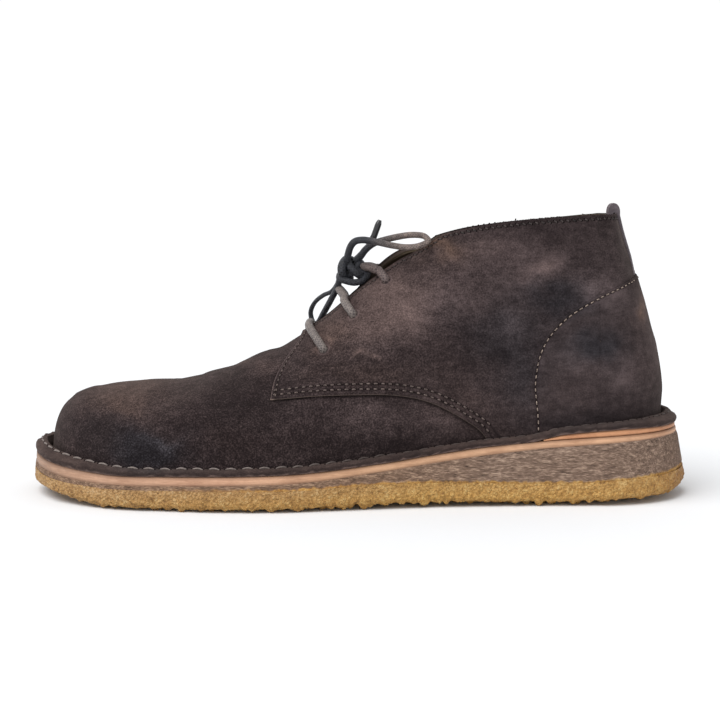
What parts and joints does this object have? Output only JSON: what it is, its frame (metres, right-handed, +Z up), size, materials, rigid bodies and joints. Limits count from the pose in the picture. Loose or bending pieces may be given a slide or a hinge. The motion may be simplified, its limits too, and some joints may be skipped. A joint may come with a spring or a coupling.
{
  "type": "desert boot",
  "caption": "Ankle-high suede boot for a left foot, open-laced over a tongue, on a wedge of crepe under a leather midsole.",
  "frame": {"origin": "middle of the boot's box at floor level, under the sole", "axes": "+X from toe to heel, +Y towards the inner side of the foot, +Z up"},
  "size_m": [0.3041, 0.1091, 0.1337],
  "materials": {
    "suede": "matt brushed suede",
    "lining": "smooth lining leather",
    "leather": "waxed natural edge",
    "wedge": "matt granular crepe",
    "crepe": "honey crepe rubber",
    "lace": "round waxed cotton cord",
    "aglet": "clear film over dark cord"
  },
  "bodies": {
    "root": {"outsole": "crepe", "wedge": "wedge", "midsole": "leather", "heel_seat": "leather", "welt": "suede", "insole": "lining", "upper": "suede", "tongue": "suede", "pull_loop": "suede", "lace_bar_low": "lace", "lace_bar_middle": "lace", "lace_bar_top": "lace", "lace_knot": "lace", "lace_loop_back": "lace", "lace_loop_front": "lace", "lace_end_up": "lace", "lace_end_down": "lace", "aglet_up": "aglet", "aglet_down": "aglet"}
  },
  "joints": []
}
